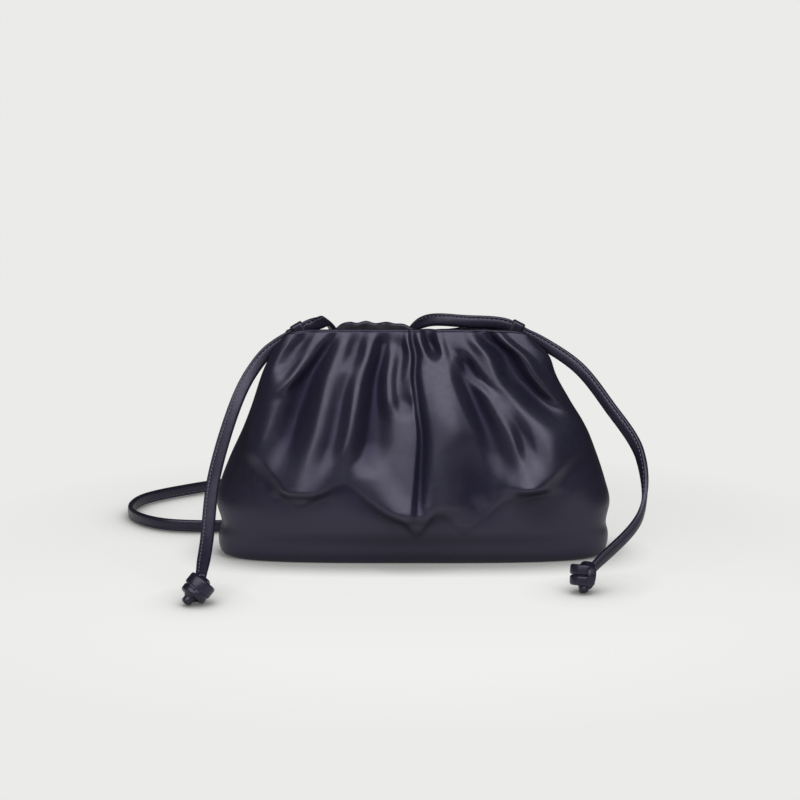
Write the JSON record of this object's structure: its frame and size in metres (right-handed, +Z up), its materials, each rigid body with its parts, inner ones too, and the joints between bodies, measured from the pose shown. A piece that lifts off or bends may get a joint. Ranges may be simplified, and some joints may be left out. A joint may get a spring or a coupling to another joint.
{
  "type": "cloud pouch bag",
  "caption": "Small gathered leather pouch handbag with a flat base, a pleated mouth and a thin knotted shoulder strap through two keepers.",
  "frame": {"origin": "on the floor under the middle of the pouch", "axes": "+X to the right of someone facing the front, along the bag's width; +Y to the back; +Z up"},
  "size_m": [0.2966, 0.2862, 0.1338],
  "materials": {
    "pouch_leather": "satin",
    "strap_leather": "satin"
  },
  "bodies": {
    "root": {"pouch": "pouch_leather", "keeper_left": "strap_leather", "keeper_right": "strap_leather", "strap": "strap_leather", "knot_left": "strap_leather", "knot_right": "strap_leather"}
  },
  "joints": []
}
